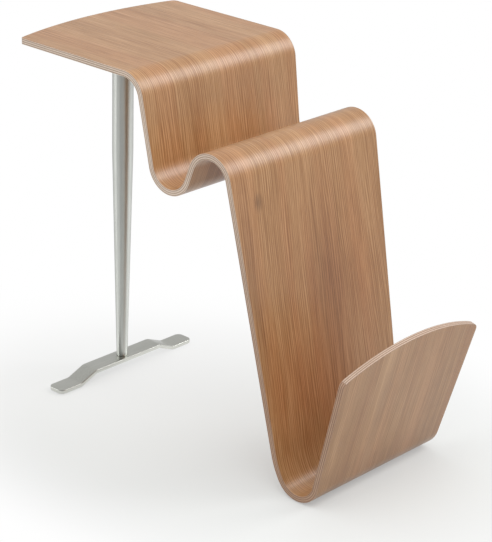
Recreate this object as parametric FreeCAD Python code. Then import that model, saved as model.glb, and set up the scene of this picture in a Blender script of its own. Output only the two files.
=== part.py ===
import FreeCAD
import Part

import math
import os
from collections import namedtuple

# Side table moulded as one bent plywood strip, with a magazine pocket and a turned metal leg.
# X runs from the tabletop's free end to the pocket, Y across the strip and Z up from the floor.
# The origin is on the floor, under the middle of the table's length and width. Lengths are in mm.

Vector = FreeCAD.Vector
ALONG = Vector(1, 0, 0)
ACROSS = Vector(0, 1, 0)
UP = Vector(0, 0, 1)
QUARTER_TURN = 90
FULL_TURN = 360
PICK_TOLERANCE = 0.01
CUT_OVERRUN = 30.0

# Table
TABLE_HEIGHT = 556.2
GLIDE_THICKNESS = 1.2

# Plies of the strip
FACE_VENEER_THICKNESS = 0.75
CORE_PLY_THICKNESS = 1.5
CORE_PLY_COUNT = 5
STRIP_THICKNESS = 2 * FACE_VENEER_THICKNESS + CORE_PLY_COUNT * CORE_PLY_THICKNESS

# Flats of the strip and the radii of its bends, on its middle surface
TABLETOP_RUN = 235.7
FIRST_DROP_RUN = 95.2
HUMP_RISE_RUN = 26.0
PANEL_RUN = 218.5
TABLETOP_BEND_RADIUS = 34.5
TROUGH_BEND_RADIUS = 36.5
HUMP_BEND_RADIUS = 36.0
LEAD_IN_RADIUS = 122.0
FLOOR_BEND_RADIUS = 35.0

# Slopes of the strip's flats, in degrees from level
FIRST_DROP_SLOPE = 80.1
HUMP_RISE_SLOPE = 69.0
LONG_DROP_SLOPE = 77.9
LEAD_IN_SLOPE = 60.7
PANEL_SLOPE = 75.0

# Trimmed outline of the strip
TABLETOP_WIDTH = 314.5
TROUGH_WIDTH = 304.5
WAIST_WIDTH = 265.0
WAIST_HEIGHT = 18.0
PANEL_END_WIDTH = 292.5
TABLETOP_END_RADIUS = 610.0
PANEL_END_RADIUS = 370.0
TABLETOP_CORNER_RADIUS = 8.0
PANEL_CORNER_RADIUS = 12.0

# Leg, turned to a taper and bored through, with a tapped plug in each end
LEG_SETBACK = 70.5
LEG_TOP_DIAMETER = 32.2
LEG_FOOT_DIAMETER = 17.2
LEG_TAPER_RUN = 341.0
LEG_BORE_DIAMETER = 12.0
LEG_FOOT_CHAMFER = 0.8
PLUG_LENGTH = 24.0

# Mounting plate and its wood screws
PLATE_DIAMETER = 84.0
PLATE_THICKNESS = 6.0
PLATE_SCREW_CIRCLE = 62.0
PLATE_SCREW_COUNT = 3
WOOD_SCREW_DIAMETER = 4.0
WOOD_SCREW_HEAD_DIAMETER = 8.0
WOOD_SCREW_LENGTH = 11.0
SCREW_TIP_CLEARANCE = 0.2
SCREW_HOLE_CLEARANCE = 0.2

# Machine screws that hold the plate and the foot bar to the leg's plugs
LEG_SCREW_DIAMETER = 8.0
LEG_SCREW_HEAD_DIAMETER = 15.0
LEG_SCREW_LENGTH = 20.0
SOCKET_WIDTH = 5.0
SOCKET_DEPTH = 3.0
SOCKET_SIDES = 6

# Foot bar, bent up in the middle to clear the floor
FOOT_LENGTH = 284.0
FOOT_WIDTH = 31.0
FOOT_THICKNESS = 6.0
FOOT_LIFT = 12.4
FOOT_RAMP_SLOPE = 22.0
FOOT_BEND_RADIUS = 16.0
FOOT_MIDDLE_RUN = 132.0
FOOT_CORNER_RADIUS = 9.0
FOOT_EDGE_CHAMFER = 0.8

# Glides that the table stands on
FOOT_GLIDE_DIAMETER = 22.0
FOOT_GLIDE_SETBACK = 19.0
STRIP_GLIDE_DIAMETER = 12.0
STRIP_GLIDE_SETBACK = 32.0

# Heights that follow from the sizes above
TABLETOP_UNDERSIDE = TABLE_HEIGHT - STRIP_THICKNESS
LEG_TOP = TABLETOP_UNDERSIDE - PLATE_THICKNESS
FOOT_UNDERSIDE = GLIDE_THICKNESS + FOOT_LIFT
LEG_FOOT = FOOT_UNDERSIDE + FOOT_THICKNESS

Run = namedtuple("Run", "length")
Bend = namedtuple("Bend", "radius turn")
Stretch = namedtuple("Stretch", "start heading turn radius end")
StripPath = namedtuple(
    "StripPath",
    "tabletop tabletop_bend first_drop trough hump_rise hump long_drop lead_in floor_bend panel",
)


# Paths of runs and bends

def heading_vector(heading):
    """Unit vector in the XZ plane at a heading, in degrees up from +X."""
    angle = math.radians(heading)
    return Vector(math.cos(angle), 0, math.sin(angle))


def upper_normal(heading):
    """Unit vector square to a heading, towards the path's upper side."""
    return heading_vector(heading + QUARTER_TURN)


def walk(start, steps):
    """Places runs and bends end to end from a start point, heading along +X at first."""
    heading = 0
    stretches = []
    for step in steps:
        if isinstance(step, Run):
            end = start + heading_vector(heading) * step.length
            stretches.append(Stretch(start, heading, 0, 0, end))
        else:
            radius = math.copysign(step.radius, step.turn)
            centre = start + upper_normal(heading) * radius
            end = centre - upper_normal(heading + step.turn) * radius
            stretches.append(Stretch(start, heading, step.turn, radius, end))
            heading += step.turn
        start = end
    return stretches


def bend_centre(bend):
    """Centre that a bend turns around."""
    return bend.start + upper_normal(bend.heading) * bend.radius


def offset_point(stretch, share, offset):
    """Point a share of the way along a stretch, moved by an offset to its upper side."""
    normal = upper_normal(stretch.heading + stretch.turn * share)
    if stretch.turn:
        return bend_centre(stretch) - normal * (stretch.radius - offset)
    return stretch.start + (stretch.end - stretch.start) * share + normal * offset


def offset_edge(stretch, offset):
    """Line or arc of a stretch, moved by an offset to its upper side."""
    first, middle, last = [offset_point(stretch, share, offset) for share in (0, 1 / 2, 1)]
    if stretch.turn:
        return Part.Arc(first, middle, last).toShape()
    return Part.LineSegment(first, last).toShape()


def band(stretches, lower, upper, width):
    """Solid band between two offsets of a path, centred across the path's plane."""
    edges = []
    for offset in (lower, upper):
        edges += [offset_edge(stretch, offset) for stretch in stretches]
    for stretch, share in ((stretches[0], 0), (stretches[-1], 1)):
        cap = Part.LineSegment(offset_point(stretch, share, lower), offset_point(stretch, share, upper))
        edges.append(cap.toShape())
    face = Part.Face(Part.Wire(Part.sortEdges(edges)[0]))
    face.translate(ACROSS * (-width / 2))
    return face.extrude(ACROSS * width)


# Solids from outlines

def mirrored(corners):
    """Closed symmetric outline from the corners of its +Y side."""
    return corners + [Vector(corner.x, -corner.y, corner.z) for corner in reversed(corners)]


def prism(corners, reach):
    """Solid with a flat outline of straight edges, drawn out by a vector."""
    return Part.Face(Part.makePolygon(corners + corners[:1])).extrude(reach)


def crowned(zone, end, inward, through, radius, corner_radius):
    """Rounds one end of a trimming solid to a large radius and softens the corners that it leaves."""
    reach = TABLE_HEIGHT + CUT_OVERRUN
    centre = end + inward * radius - through * reach
    zone = zone.common(Part.makeCylinder(radius, 2 * reach, centre, through))
    corners = []
    for face in zone.Faces:
        if isinstance(face.Surface, Part.Cylinder) and abs(face.Surface.Radius - radius) < PICK_TOLERANCE:
            corners += [edge for edge in face.Edges if isinstance(edge.Curve, Part.Line)]
    return zone.makeFillet(corner_radius, corners)


def rounded_uprights(solid, radius, places):
    """Rounds the upright straight edges at the given places on the floor plan."""
    chosen = []
    for edge in solid.Edges:
        first, last = edge.firstVertex().Point, edge.lastVertex().Point
        if math.hypot(first.x - last.x, first.y - last.y) > PICK_TOLERANCE:
            continue
        if min(math.hypot(first.x - place.x, first.y - place.y) for place in places) < PICK_TOLERANCE:
            chosen.append(edge)
    return solid.makeFillet(radius, chosen)


def turned(profile):
    """Solid of revolution about the Z axis from (radius, height) corners."""
    corners = [Vector(radius, 0, height) for radius, height in profile]
    return Part.Face(Part.makePolygon(corners + corners[:1])).revolve(Vector(0, 0, 0), UP, FULL_TURN)


def cylinder(diameter, start, length):
    """Upright cylinder from a start point."""
    return Part.makeCylinder(diameter / 2, length, start, UP)


def socket(width, place, reach):
    """Hexagonal tool recess, measured across its flats."""
    corner_radius = width / 2 / math.cos(math.pi / SOCKET_SIDES)
    corners = []
    for index in range(SOCKET_SIDES):
        angle = 2 * math.pi * index / SOCKET_SIDES
        corners.append(place + Vector(math.cos(angle), math.sin(angle), 0) * corner_radius)
    return prism(corners, reach)


# Bent plywood strip

def strip_steps():
    """Runs and bends of the strip, with the long drop as long as the table's height asks for."""
    upper_steps = [
        Run(TABLETOP_RUN),
        Bend(TABLETOP_BEND_RADIUS, -FIRST_DROP_SLOPE),
        Run(FIRST_DROP_RUN),
        Bend(TROUGH_BEND_RADIUS, FIRST_DROP_SLOPE + HUMP_RISE_SLOPE),
        Run(HUMP_RISE_RUN),
        Bend(HUMP_BEND_RADIUS, -HUMP_RISE_SLOPE - LONG_DROP_SLOPE),
    ]
    lower_bends = [
        Bend(LEAD_IN_RADIUS, LONG_DROP_SLOPE - LEAD_IN_SLOPE),
        Bend(FLOOR_BEND_RADIUS, LEAD_IN_SLOPE + PANEL_SLOPE),
    ]
    hump_end = walk(UP * (TABLE_HEIGHT - STRIP_THICKNESS / 2), upper_steps)[-1].end
    drop_cosine = math.cos(math.radians(LONG_DROP_SLOPE))
    lead_in_cosine = math.cos(math.radians(LEAD_IN_SLOPE))
    bends_fall = LEAD_IN_RADIUS * (lead_in_cosine - drop_cosine) + FLOOR_BEND_RADIUS * (1 - lead_in_cosine)
    straight_fall = hump_end.z - bends_fall - STRIP_THICKNESS / 2 - GLIDE_THICKNESS
    long_drop = Run(straight_fall / math.sin(math.radians(LONG_DROP_SLOPE)))
    return upper_steps + [long_drop] + lower_bends + [Run(PANEL_RUN)]


def strip_path():
    """Middle surface of the strip, placed so that the table's length is centred on the origin."""
    start = UP * (TABLE_HEIGHT - STRIP_THICKNESS / 2)
    steps = strip_steps()
    panel_tip = offset_point(walk(start, steps)[-1], 1, -STRIP_THICKNESS / 2)
    return StripPath(*walk(start - ALONG * (panel_tip.x / 2), steps))


def front_zone(start_x, end_x, sides):
    """Solid with a symmetric outline in front view, from (width, height) corners, between two X."""
    corners = [Vector(start_x, width / 2, height) for width, height in sides]
    return prism(mirrored(corners), ALONG * (end_x - start_x))


def tabletop_zone(path, end_x):
    """Trimming outline of the tabletop and first drop, with the crowned free end."""
    sides = [
        (TROUGH_WIDTH, -CUT_OVERRUN),
        (TROUGH_WIDTH, path.first_drop.end.z),
        (TABLETOP_WIDTH, path.first_drop.start.z),
        (TABLETOP_WIDTH, TABLE_HEIGHT + CUT_OVERRUN),
    ]
    free_end = ALONG * path.tabletop.start.x
    zone = front_zone(free_end.x - CUT_OVERRUN, end_x, sides)
    return crowned(zone, free_end, ALONG, UP, TABLETOP_END_RADIUS, TABLETOP_CORNER_RADIUS)


def long_drop_zone(path, start_x, end_x):
    """Trimming outline of the hump and long drop, which narrow towards the floor."""
    sides = [
        (WAIST_WIDTH, -CUT_OVERRUN),
        (WAIST_WIDTH, WAIST_HEIGHT),
        (TROUGH_WIDTH, path.long_drop.start.z),
        (TROUGH_WIDTH, TABLE_HEIGHT),
    ]
    return front_zone(start_x, end_x, sides)


def panel_zone(path, start_x):
    """Trimming outline of the front panel, cut square to its face, with its flared and crowned end."""
    rise = heading_vector(PANEL_SLOPE)
    through = upper_normal(PANEL_SLOPE)
    waist = Vector(start_x, 0, WAIST_HEIGHT)
    end = waist + rise * (path.panel.end - waist).dot(rise)
    foot = waist - rise * (WAIST_HEIGHT + CUT_OVERRUN)
    reach = end.x - start_x + CUT_OVERRUN
    corners = [
        foot + ACROSS * (WAIST_WIDTH / 2),
        waist + ACROSS * (WAIST_WIDTH / 2),
        end + ACROSS * (PANEL_END_WIDTH / 2),
    ]
    zone = prism(mirrored(corners), through * (2 * reach))
    zone.translate(through * -reach)
    zone = crowned(zone, end, -rise, through, PANEL_END_RADIUS, PANEL_CORNER_RADIUS)
    corner = Vector(start_x, -PANEL_END_WIDTH, -CUT_OVERRUN)
    return zone.common(Part.makeBox(2 * reach, 2 * PANEL_END_WIDTH, TABLE_HEIGHT, corner))


def strip_outline(path):
    """Solid that the bent plies are trimmed to."""
    trough_x = bend_centre(path.trough).x
    hump_x = bend_centre(path.hump).x
    floor_x = bend_centre(path.floor_bend).x
    level_sides = [(TROUGH_WIDTH, -CUT_OVERRUN), (TROUGH_WIDTH, TABLE_HEIGHT)]
    zones = [
        front_zone(trough_x, hump_x, level_sides),
        long_drop_zone(path, hump_x, floor_x),
        panel_zone(path, floor_x),
    ]
    return tabletop_zone(path, trough_x).fuse(zones).removeSplitter()


def strip_plies(path):
    """Plies of the strip by name, from the upper face down, trimmed and drilled for the plate."""
    outline = strip_outline(path)
    core_names = ["core_ply_%d" % (index + 1) for index in range(CORE_PLY_COUNT)]
    lay_up = [("upper_face_veneer", FACE_VENEER_THICKNESS)]
    lay_up += [(name, CORE_PLY_THICKNESS) for name in core_names]
    lay_up += [("lower_face_veneer", FACE_VENEER_THICKNESS)]
    hole_depth = WOOD_SCREW_LENGTH - PLATE_THICKNESS + SCREW_TIP_CLEARANCE
    holes = []
    for place in wood_screw_places():
        holes.append(cylinder(WOOD_SCREW_DIAMETER, place + UP * TABLETOP_UNDERSIDE, hole_depth))
    upper = STRIP_THICKNESS / 2
    plies = {}
    for name, thickness in lay_up:
        lower = upper - thickness
        ply = band(path, lower, upper, TABLETOP_WIDTH + CUT_OVERRUN).common(outline)
        if TABLE_HEIGHT - STRIP_THICKNESS / 2 + lower < TABLETOP_UNDERSIDE + hole_depth:
            ply = ply.cut(Part.makeCompound(holes))
        plies[name] = ply
        upper = lower
    return plies


# Leg and its plate

def leg_place():
    """Place of the leg's axis on the floor."""
    return ALONG * (strip_path().tabletop.start.x + LEG_SETBACK)


def wood_screw_places():
    """Places of the plate's screws on the floor plan, evenly around the leg."""
    places = []
    for index in range(PLATE_SCREW_COUNT):
        angle = math.radians(FULL_TURN * (index + 1 / 2) / PLATE_SCREW_COUNT)
        places.append(leg_place() + Vector(math.cos(angle), math.sin(angle), 0) * (PLATE_SCREW_CIRCLE / 2))
    return places


def drilled(body, place, outer_face, inner_face, diameter, head_diameter):
    """Body with a clearance hole between two heights, countersunk at a right angle from the outer one."""
    hole = cylinder(diameter + 2 * SCREW_HOLE_CLEARANCE, place + UP * min(outer_face, inner_face),
                    abs(inner_face - outer_face))
    return body.cut(hole).cut(countersink(place, outer_face, inner_face, diameter, head_diameter))


def countersink(place, outer_face, inner_face, diameter, head_diameter):
    """Right-angled cone of a screw's head, widest at the outer face."""
    depth = math.copysign((head_diameter - diameter) / 2, inner_face - outer_face)
    cone = turned([
        (0, outer_face),
        (head_diameter / 2, outer_face),
        (diameter / 2, outer_face + depth),
        (0, outer_face + depth),
    ])
    cone.translate(place)
    return cone


def mounting_plate():
    """Round plate under the tabletop with its countersunk holes."""
    plate = cylinder(PLATE_DIAMETER, leg_place() + UP * LEG_TOP, PLATE_THICKNESS)
    plate = drilled(
        plate, leg_place(), TABLETOP_UNDERSIDE, LEG_TOP, LEG_SCREW_DIAMETER, LEG_SCREW_HEAD_DIAMETER
    )
    for place in wood_screw_places():
        plate = drilled(
            plate, place, LEG_TOP, TABLETOP_UNDERSIDE, WOOD_SCREW_DIAMETER, WOOD_SCREW_HEAD_DIAMETER
        )
    return plate


def wood_screw(place):
    """Countersunk wood screw, driven up through the plate."""
    head = countersink(place, LEG_TOP, TABLETOP_UNDERSIDE, WOOD_SCREW_DIAMETER, WOOD_SCREW_HEAD_DIAMETER)
    return head.fuse(cylinder(WOOD_SCREW_DIAMETER, place + UP * LEG_TOP, WOOD_SCREW_LENGTH)).removeSplitter()


def leg():
    """Leg, straight at the top and tapered down to the foot bar, bored through from end to end."""
    foot_radius = LEG_FOOT_DIAMETER / 2
    taper_top = LEG_FOOT + LEG_TAPER_RUN
    taper = (LEG_TOP_DIAMETER / 2 - foot_radius) / LEG_TAPER_RUN
    body = turned([
        (LEG_BORE_DIAMETER / 2, LEG_FOOT),
        (foot_radius - LEG_FOOT_CHAMFER, LEG_FOOT),
        (foot_radius + taper * LEG_FOOT_CHAMFER, LEG_FOOT + LEG_FOOT_CHAMFER),
        (LEG_TOP_DIAMETER / 2, taper_top),
        (LEG_TOP_DIAMETER / 2, LEG_TOP),
        (LEG_BORE_DIAMETER / 2, LEG_TOP),
    ])
    body.translate(leg_place())
    return body


def leg_plug(outer_face, inner_end, clamped_thickness):
    """Plug in one end of the leg, with a tapped hole as deep as its screw reaches past the clamped piece."""
    hole_depth = LEG_SCREW_LENGTH - clamped_thickness + SCREW_TIP_CLEARANCE
    hole_end = outer_face + math.copysign(hole_depth, inner_end - outer_face)
    plug = turned([
        (LEG_SCREW_DIAMETER / 2, outer_face),
        (LEG_BORE_DIAMETER / 2, outer_face),
        (LEG_BORE_DIAMETER / 2, inner_end),
        (0, inner_end),
        (0, hole_end),
        (LEG_SCREW_DIAMETER / 2, hole_end),
    ])
    plug.translate(leg_place())
    return plug


def leg_screw(outer_face, inner_face):
    """Countersunk machine screw with its head at the outer face, driven towards the inner face."""
    inward = math.copysign(1, inner_face - outer_face)
    tip = outer_face + inward * LEG_SCREW_LENGTH
    shank = cylinder(LEG_SCREW_DIAMETER, leg_place() + UP * min(outer_face, tip), LEG_SCREW_LENGTH)
    head = countersink(leg_place(), outer_face, inner_face, LEG_SCREW_DIAMETER, LEG_SCREW_HEAD_DIAMETER)
    recess = socket(SOCKET_WIDTH, leg_place() + UP * outer_face, UP * (inward * SOCKET_DEPTH))
    return head.fuse(shank).removeSplitter().cut(recess)


# Foot bar

def foot_steps():
    """Runs and bends of the foot bar on its middle surface, from one end to the other."""
    slope = math.radians(FOOT_RAMP_SLOPE)
    bends_rise = 2 * FOOT_BEND_RADIUS * (1 - math.cos(slope))
    ramp = (FOOT_LIFT - bends_rise) / math.sin(slope)
    ramp_reach = ramp * math.cos(slope) + 2 * FOOT_BEND_RADIUS * math.sin(slope)
    pad = (FOOT_LENGTH - FOOT_MIDDLE_RUN) / 2 - ramp_reach
    up = Bend(FOOT_BEND_RADIUS, FOOT_RAMP_SLOPE)
    down = Bend(FOOT_BEND_RADIUS, -FOOT_RAMP_SLOPE)
    return [Run(pad), up, Run(ramp), down, Run(FOOT_MIDDLE_RUN), down, Run(ramp), up, Run(pad)]


def upper_rim(solid):
    """Edges where the solid's upper skin meets its upright sides."""
    skin = []
    for face in solid.Faces:
        u_start, u_end, v_start, v_end = face.ParameterRange
        if face.normalAt((u_start + u_end) / 2, (v_start + v_end) / 2).z > 1 / 2:
            skin.append(face)
    edges = [edge for face in skin for edge in face.Edges]
    return [edge for edge in edges if sum(edge.isSame(other) for other in edges) == 1]


def foot_bar():
    """Flat bar across the table's width, bent up between its two end pads."""
    start = Vector(-FOOT_LENGTH / 2, 0, GLIDE_THICKNESS + FOOT_THICKNESS / 2)
    bar = band(walk(start, foot_steps()), -FOOT_THICKNESS / 2, FOOT_THICKNESS / 2, FOOT_WIDTH)
    corners = [Vector(x, y, 0) for x in (start.x, -start.x) for y in (FOOT_WIDTH / 2, -FOOT_WIDTH / 2)]
    bar = rounded_uprights(bar, FOOT_CORNER_RADIUS, corners)
    bar = bar.makeChamfer(FOOT_EDGE_CHAMFER, upper_rim(bar))
    bar.rotate(Vector(0, 0, 0), UP, QUARTER_TURN)
    bar.translate(leg_place())
    return drilled(bar, leg_place(), FOOT_UNDERSIDE, LEG_FOOT, LEG_SCREW_DIAMETER, LEG_SCREW_HEAD_DIAMETER)


# Glides

def foot_glides():
    """Round glides under the foot bar's end pads."""
    reach = FOOT_LENGTH / 2 - FOOT_GLIDE_SETBACK
    places = [leg_place() + ACROSS * side for side in (reach, -reach)]
    return Part.makeCompound([cylinder(FOOT_GLIDE_DIAMETER, place, GLIDE_THICKNESS) for place in places])


def strip_glides(path):
    """Round glides under the floor bend, hollowed to the strip's curved underside."""
    centre = bend_centre(path.floor_bend)
    outer_radius = FLOOR_BEND_RADIUS + STRIP_THICKNESS / 2
    bend_body = Part.makeCylinder(outer_radius, WAIST_WIDTH, centre - ACROSS * (WAIST_WIDTH / 2), ACROSS)
    reach = WAIST_WIDTH / 2 - STRIP_GLIDE_SETBACK
    places = [Vector(centre.x, side, 0) for side in (reach, -reach)]
    blank_height = GLIDE_THICKNESS + STRIP_GLIDE_DIAMETER / 2
    glides = [cylinder(STRIP_GLIDE_DIAMETER, place, blank_height).cut(bend_body) for place in places]
    return Part.makeCompound(glides)


def table_parts():
    """Every piece of the table by its node's name."""
    path = strip_path()
    parts = strip_plies(path)
    parts["leg_mounting_plate"] = mounting_plate()
    parts["plate_wood_screws"] = Part.makeCompound([wood_screw(place) for place in wood_screw_places()])
    parts["leg"] = leg()
    parts["leg_plugs"] = Part.makeCompound([
        leg_plug(LEG_TOP, LEG_TOP - PLUG_LENGTH, PLATE_THICKNESS),
        leg_plug(LEG_FOOT, LEG_FOOT + PLUG_LENGTH, FOOT_THICKNESS),
    ])
    parts["leg_screws"] = Part.makeCompound([
        leg_screw(TABLETOP_UNDERSIDE, LEG_TOP),
        leg_screw(FOOT_UNDERSIDE, LEG_FOOT),
    ])
    parts["foot_bar"] = foot_bar()
    parts["foot_glides"] = foot_glides()
    parts["strip_glides"] = strip_glides(path)
    return parts


def main():
    """Writes one STEP file for each node."""
    os.makedirs("parts", exist_ok=True)
    for name, shape in table_parts().items():
        shape.exportStep("parts/%s.step" % name)


main()
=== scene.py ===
"""Looks of a side table: one moulded plywood strip on a turned metal leg with a flat foot bar.

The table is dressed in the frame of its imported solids, in metres: X runs from the tabletop's free
end to the magazine pocket, Y across the strip and Z up from the floor.
"""

import logging
import math
from dataclasses import dataclass, field
from enum import Enum, IntEnum
from typing import Callable

import bmesh
import bpy
from mathutils import Matrix, Vector


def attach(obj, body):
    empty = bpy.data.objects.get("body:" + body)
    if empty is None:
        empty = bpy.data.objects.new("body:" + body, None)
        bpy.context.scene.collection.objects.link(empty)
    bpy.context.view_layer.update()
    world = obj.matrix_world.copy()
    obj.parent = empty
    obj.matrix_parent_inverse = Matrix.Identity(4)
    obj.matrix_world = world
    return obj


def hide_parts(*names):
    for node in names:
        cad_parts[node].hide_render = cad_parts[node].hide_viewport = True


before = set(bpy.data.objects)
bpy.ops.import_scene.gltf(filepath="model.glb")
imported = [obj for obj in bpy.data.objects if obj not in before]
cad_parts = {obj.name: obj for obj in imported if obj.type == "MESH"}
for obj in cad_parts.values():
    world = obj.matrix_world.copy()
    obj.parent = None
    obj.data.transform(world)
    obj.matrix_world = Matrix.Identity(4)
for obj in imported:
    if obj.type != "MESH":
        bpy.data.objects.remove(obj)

LOG = logging.getLogger("side_table")

ALONG = Vector((1.0, 0.0, 0.0))
ACROSS = Vector((0.0, 1.0, 0.0))
UP = Vector((0.0, 0.0, 1.0))
# Level directions of the studio: out of its front, and from its left to its right
FRONT = Vector((0.676, -0.736, 0.0))
RIGHT = Vector((0.736, 0.676, 0.0))
# Distance below which two points are one
TIGHT = 1e-6
# Map of the unrolled strip, and how far off its ends lie on it from its sides
GRAIN_MAP = "grain"
END_SHIFT = 1.0
WHITE = (1.0, 1.0, 1.0, 1.0)

Colour = tuple[float, float, float]
Tones = tuple[tuple[float, Colour], ...]
# Low and high value, and the results that they become
Range = tuple[float, float, float, float]
Socket = bpy.types.NodeSocket
Value = Socket | float
Paint = Socket | Colour
MeshTest = Callable[[bmesh.types.BMFace | bmesh.types.BMEdge], bool]


class Slot(Enum):
    """Material slots of the pieces that are modelled here."""

    OAK = "oak_face_veneer"
    PLY = "core_ply"
    METAL = "satin_metal"


class PlyGrain(Enum):
    """Direction of a ply's grain: along the strip or across it."""

    LONG = "long"
    CROSS = "cross"


class PlyFace(IntEnum):
    """Kinds of faces of a ply, in the order of its materials."""

    SKIN = 0
    SIDE = 1
    END = 2


class Form(IntEnum):
    """Stretches of the strip, in order from the tabletop's free end."""

    TABLETOP = 0
    TABLE_BEND = 1
    FIRST_DROP = 2
    TROUGH = 3
    RISE = 4
    HUMP = 5
    LONG_DROP = 6
    LEAD_IN = 7
    FLOOR_BEND = 8
    PANEL = 9


class Kind(Enum):
    """What is chosen from a mesh in edit mode."""

    FACE = "faces"
    EDGE = "edges"


class Mixing(Enum):
    """How a second colour meets the first."""

    COVER = "MIX"
    STAIN = "MULTIPLY"


# Work at the bench: selecting and shaping


def clear_selection() -> None:
    """Leaves nothing selected, so that an operator acts on the next piece alone."""
    bpy.ops.object.select_all(action="DESELECT")


def make_active(piece: bpy.types.Object) -> None:
    """Selects one piece alone.

    Args:
        piece: The object to work on.
    """
    clear_selection()
    piece.select_set(True)
    bpy.context.view_layer.objects.active = piece


def start_shape(name: str) -> bpy.types.Object:
    """Applies the place of the primitive just added and selects it all over in edit mode.

    Args:
        name: Name of the new piece.

    Returns:
        The piece, in edit mode.
    """
    bpy.ops.object.transform_apply(location=True, rotation=True, scale=True)
    piece = bpy.context.active_object
    piece.name = name
    piece.data.name = name
    bpy.ops.object.mode_set(mode="EDIT")
    bpy.ops.mesh.select_all(action="SELECT")
    return piece


def choose(kind: Kind, test: MeshTest) -> None:
    """Selects the faces or edges of the mesh in edit mode that pass a test, and no others.

    Args:
        kind: Faces or edges.
        test: Says whether one of them is chosen.
    """
    bpy.ops.mesh.select_mode(type=kind.name)
    bpy.ops.mesh.select_all(action="DESELECT")
    mesh = bpy.context.edit_object.data
    shape = bmesh.from_edit_mesh(mesh)
    for element in [one for one in getattr(shape, kind.value) if test(one)]:
        element.select_set(True)
    bmesh.update_edit_mesh(mesh)


def follow_profile(
    axis: Vector, profile: list[tuple[float, float]], extrude: Callable[..., set[str]]
) -> None:
    """Carries the selected ring or disc up a turned profile in edit mode.

    Args:
        axis: Point of the upright axis on the floor.
        profile: Radius and height of each ring, from the present one on.
        extrude: Operator that extrudes and moves what is selected.
    """
    for (from_radius, from_height), (radius, height) in zip(profile, profile[1:]):
        extrude(TRANSFORM_OT_translate={"value": UP * (height - from_height)})
        ratio = radius / from_radius
        bpy.ops.transform.resize(value=(ratio, ratio, 1.0), center_override=axis + UP * height)


def close_shape() -> None:
    """Welds the mesh in edit mode and turns its faces outwards."""
    bpy.ops.mesh.select_all(action="SELECT")
    bpy.ops.mesh.remove_doubles(threshold=TIGHT)
    bpy.ops.mesh.normals_make_consistent(inside=False)


def finish_piece(piece: bpy.types.Object, smooth_degrees: float) -> None:
    """Shades a piece smooth up to an angle and lets it ride on the table.

    Args:
        piece: The finished piece, in object mode.
        smooth_degrees: Largest angle between faces that still looks rounded.
    """
    make_active(piece)
    bpy.ops.object.shade_smooth_by_angle(angle=math.radians(smooth_degrees))
    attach(piece, "root")
    LOG.info("%s: %d faces", piece.name, len(piece.data.polygons))


# Bent paths


@dataclass(frozen=True)
class Run:
    """Straight run of a bent path."""

    length: float


@dataclass(frozen=True)
class Bend:
    """Bend of a bent path. A positive turn, in degrees, lifts the path."""

    radius: float
    turn: float


@dataclass(frozen=True)
class Stretch:
    """Run or bend, placed in the table's frame. Angles are in radians, up from the path's plane."""

    along: Vector
    start: Vector
    heading: float
    turn: float
    radius: float
    station: float
    length: float

    def direction(self, angle: float) -> Vector:
        """Unit vector at an angle up from the path's first heading."""
        return self.along * math.cos(angle) + UP * math.sin(angle)

    def normal(self, share: float) -> Vector:
        """Unit vector to the path's upper side, a share of the way along."""
        return self.direction(self.heading + self.turn * share + math.pi / 2)

    def centre(self) -> Vector:
        """Centre that a bend turns around."""
        return self.start + self.normal(0) * self.radius

    def point(self, share: float, offset: float = 0.0) -> Vector:
        """Point of the stretch, moved to its upper side.

        Args:
            share: Share of the way along the stretch.
            offset: Distance to the path's upper side.

        Returns:
            The point in the table's frame.
        """
        if self.turn:
            return self.centre() - self.normal(share) * (self.radius - offset)
        return self.start + self.direction(self.heading) * (self.length * share) + self.normal(0) * offset

    def locate(self, place: Vector) -> tuple[float, float, float]:
        """Finds a point of the material beside this stretch.

        Args:
            place: A point in the table's frame.

        Returns:
            How far the point lies beyond the stretch's ends, its station along the path and its
            offset to the upper side.
        """
        if self.turn:
            arm = place - self.centre()
            flat = Vector((arm.dot(self.along), arm.dot(UP)))
            side = math.copysign(1.0, self.radius)
            angle = math.atan2(-side * flat[0], side * flat[1]) + math.pi
            swept = (angle - self.heading + math.pi) % (2 * math.pi) - math.pi
            reach = swept / self.turn
            offset = side * (abs(self.radius) - flat.length)
        else:
            gap = place - self.start
            reach = gap.dot(self.direction(self.heading)) / self.length
            offset = gap.dot(self.normal(0))
        beyond = max(-reach, reach - 1.0, 0.0) * self.length
        return beyond, self.station + reach * self.length, offset


@dataclass(frozen=True)
class BentPath:
    """Runs and bends end to end."""

    along: Vector
    stretches: tuple[Stretch, ...]

    @classmethod
    def laid(cls, along: Vector, start: Vector, steps: list[Run | Bend]) -> "BentPath":
        """Lays runs and bends end to end.

        Args:
            along: Level direction in which the path starts.
            start: First point of the path.
            steps: The runs and bends in order.

        Returns:
            The path in the table's frame.
        """
        stretches = []
        place, heading, station = start, 0.0, 0.0
        for step in steps:
            if isinstance(step, Run):
                stretch = Stretch(along, place, heading, 0.0, 0.0, station, step.length)
            else:
                turn = math.radians(step.turn)
                radius = math.copysign(step.radius, turn)
                stretch = Stretch(along, place, heading, turn, radius, station, abs(step.radius * turn))
            stretches.append(stretch)
            place = stretch.point(1.0)
            heading += stretch.turn
            station += stretch.length
        return cls(along, tuple(stretches))

    def unrolled(self, place: Vector) -> tuple[float, float]:
        """Station and offset of a point of the material.

        Args:
            place: A point in the table's frame.

        Returns:
            The length of path up to the point, and the point's offset to the upper side.
        """
        found = [stretch.locate(place) for stretch in self.stretches]
        _, station, offset = min(found, key=lambda spot: (round(spot[0], 6), abs(spot[2])))
        return station, offset


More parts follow.
